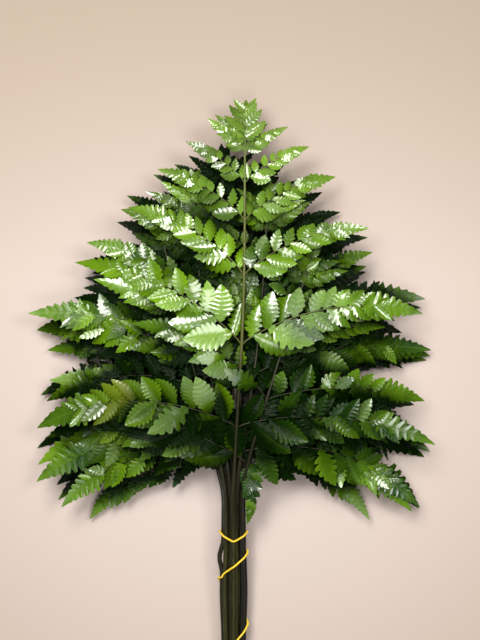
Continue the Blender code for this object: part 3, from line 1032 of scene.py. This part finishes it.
def mottled_tone(shader, spread):
    """A leaflet's own tone with soft blotches."""
    tone = shader.value("tone")
    blotches = shader.range(shader.noise(22.0, 3.0), 0.3, 0.7, -spread, spread)
    return shader.math("ADD", tone, blotches)


def leaf_material():
    shader = Shader("fern_leaf_top", Coat_IOR=1.8, Coat_Roughness=0.16, Specular_IOR_Level=0.25)
    height, coarse, rib = vein_height(shader)
    tone = mottled_tone(shader, 0.35)
    base = shader.mix(shader.range(tone, -0.5, 0.6), rgb(22, 64, 0), rgb(122, 170, 2))
    veined = shader.mix(shader.range(coarse, 0.0, 0.22, 0.14, 0.0), base, rgb(124, 166, 50))
    veined = shader.mix(shader.range(rib, 0.0, 1.0, 0.35, 0.0), veined, rgb(120, 156, 50))
    faded = shader.mix(shader.noise(90.0, 3.0), rgb(104, 128, 10), rgb(146, 150, 40))
    # Painted sheen: towards the tips the colour turns to a whitish pale green, which stands for light
    # glancing off the leaves there.
    pale = shader.mix(shader.ahead(0.12, 0.30, 0.0, 0.4), veined, rgb(156, 192, 84))
    lit = shader.mix(shader.value("age"), pale, faded)
    shade = shader.range(shader.value("shade"), 0.07, 0.56)
    shader.connect(shader.mix(shade, lit, rgb(8, 26, 2)), "Base Color")
    shader.connect(shader.range(shade, 0.0, 1.0, 0.30, 0.05), "Specular IOR Level")
    shader.connect(shader.range(shade, 0.0, 0.7, 1.0, 0.0), "Coat Weight")
    shader.connect(shader.range(shader.noise(160.0, 3.0), 0.3, 0.7, 0.20, 0.36), "Roughness")
    edge = shader.range(shader.math("ABSOLUTE", shader.value("v")), 0.0, 0.9, 0.3, 1.0)
    wavy = shader.math("MULTIPLY", shader.noise(110.0, 2.0), 2.2)
    shader.bump(shader.math("ADD", shader.math("MULTIPLY", height, edge), wavy), 0.62, 0.0008)
    return shader.material


def underside_material():
    shader = Shader("fern_leaf_underside", Specular_IOR_Level=0.4)
    height, coarse, rib = vein_height(shader)
    tone = mottled_tone(shader, 0.3)
    base = shader.mix(shader.range(tone, -0.5, 0.6), rgb(72, 112, 48), rgb(116, 150, 76))
    veined = shader.mix(shader.range(coarse, 0.0, 0.25, 0.35, 0.0), base, rgb(150, 172, 104))
    lit = shader.mix(shader.value("age"), veined, rgb(150, 140, 60))
    shade = shader.range(shader.value("shade"), 0.08, 0.60)
    shader.connect(shader.mix(shade, lit, rgb(8, 16, 4)), "Base Color")
    shader.connect(shader.range(shader.noise(120.0, 3.0), 0.3, 0.7, 0.5, 0.65), "Roughness")
    shader.bump(height, 0.5, 0.0006)
    return shader.material


def stalk_material():
    shader = Shader("fern_stalk", Specular_IOR_Level=0.3)
    up = shader.value("up")
    tone = shader.value("tone")
    dark = shader.mix(shader.range(tone, 0.35, 0.75), rgb(20, 18, 8), rgb(112, 114, 48))
    streaks = shader.noise(1.0, 3.0, (900.0, 40.0, 900.0))
    dark = shader.mix(shader.range(streaks, 0.40, 0.65, 0.0, 0.7), dark, rgb(26, 24, 10))
    green = shader.mix(shader.noise(30.0), rgb(84, 88, 40), rgb(108, 114, 58))
    pale = shader.mix(shader.range(up, 0.8, 1.0), green, rgb(120, 142, 72))
    lit = shader.mix(shader.range(up, 0.32, 0.72), dark, pale)
    shade = shader.range(shader.value("shade"), 0.08, 0.50, 0.0, 0.9)
    shader.connect(shader.mix(shade, lit, rgb(12, 12, 4)), "Base Color")
    shader.connect(shader.range(streaks, 0.3, 0.7, 0.34, 0.55), "Roughness")
    shader.bump(streaks, 0.4, 0.0005)
    return shader.material


def elastic_material():
    shader = Shader("yellow_elastic", Specular_IOR_Level=0.5)
    grain = shader.noise(900.0, 3.0)
    shader.connect(shader.mix(grain, rgb(246, 198, 20), rgb(255, 230, 70)), "Base Color")
    shader.connect(shader.range(grain, 0.3, 0.7, 0.4, 0.55), "Roughness")
    shader.bump(grain, 0.3, 0.0002)
    return shader.material


def floor_material():
    """Pale pinkish beige, with a painted pool of light round the bunch, dimmer beyond its tips."""
    shader = Shader("floor", Roughness=0.9, Specular_IOR_Level=0.1)
    place = shader.node("ShaderNodeTexCoord").outputs["Object"]
    far = shader.node("ShaderNodeVectorMath", {0: place}, operation="LENGTH").outputs["Value"]
    # Painted light: the floor is brighter round the bunch, dims further off and dims again beyond the
    # tips.
    near = shader.mix(shader.range(far, 0.05, 0.55), rgb(217, 204, 199), rgb(188, 169, 153))
    shader.connect(shader.mix(shader.ahead(0.12, 0.42), near, rgb(176, 161, 147)), "Base Color")
    return shader.material


# Camera, lights and floor


def make_floor():
    bpy.ops.mesh.primitive_plane_add(size=FLOOR_SIZE, location=(0, 0, 0))
    floor = bpy.context.object
    floor.name = "floor"
    floor.data.materials.append(floor_material())


def make_camera(middle):
    """A camera that looks straight down on the middle of the view."""
    camera = bpy.data.objects.new("camera", bpy.data.cameras.new("camera"))
    camera.data.sensor_width = SENSOR_WIDTH
    camera.data.lens = SENSOR_WIDTH * CAMERA_DISTANCE / IMAGE_HEIGHT
    camera.location = (middle[0], middle[1], CAMERA_LEVEL + CAMERA_DISTANCE)
    bpy.context.scene.collection.objects.link(camera)
    bpy.context.scene.camera = camera


def add_light(name, place, target, size, power, colour):
    lamp = bpy.data.lights.new(name, "AREA")
    lamp.size = size
    lamp.energy = power
    lamp.color = colour
    light = bpy.data.objects.new(name, lamp)
    light.location = place
    light.rotation_euler = (Vector(target) - Vector(place)).to_track_quat("-Z", "Y").to_euler()
    bpy.context.scene.collection.objects.link(light)


def make_lights(middle):
    x, y = middle
    for name, ((right, up, height), size, power, colour) in LIGHTS.items():
        add_light(name, (x + right, y + up, height), (x, y, LIGHT_TARGET), size, power, colour)
    world = bpy.data.worlds.new("world")
    world.use_nodes = True
    background = world.node_tree.nodes["Background"]
    background.inputs["Color"].default_value = rgb(238, 226, 216)
    background.inputs["Strength"].default_value = WORLD_STRENGTH
    bpy.context.scene.world = world
    bpy.context.scene.view_settings.view_transform = "Standard"


def dress_frond(frond, shift, leaf, stalk):
    """One frond's leaves and stalk, which replace its solid."""
    pinnae = [Pinna(frond, pair, side) for pair in range(frond.pairs) for side in (-1, 1)]
    pinnae.append(Tip(frond))
    for pinna in pinnae:
        pose_pinna(frond, pinna)
    pieces = [make_leaves(frond, pinnae, shift, leaf), make_stalk(frond, pinnae, shift, stalk)]
    for piece in pieces:
        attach(piece, "root")
        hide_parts(frond.name)
    return pieces


def main():
    fronds = [Frond(i, *place) for i, place in enumerate(stem_places())]
    shift = layout_shift(fronds[-1])
    middle = (VIEW_CENTRE[0] + shift[0], VIEW_CENTRE[1] + shift[1])
    make_camera(middle)
    make_lights(middle)
    make_floor()
    leaf = [leaf_material(), underside_material()]
    stalk = stalk_material()
    dressed = [dress_frond(frond, shift, leaf, stalk) for frond in fronds]
    shade_pieces([leaves for leaves, _ in dressed], [stalk for _, stalk in dressed])
    elastic = make_elastic(fronds, shift, elastic_material())
    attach(elastic, "root")
    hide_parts("elastic_band")


main()
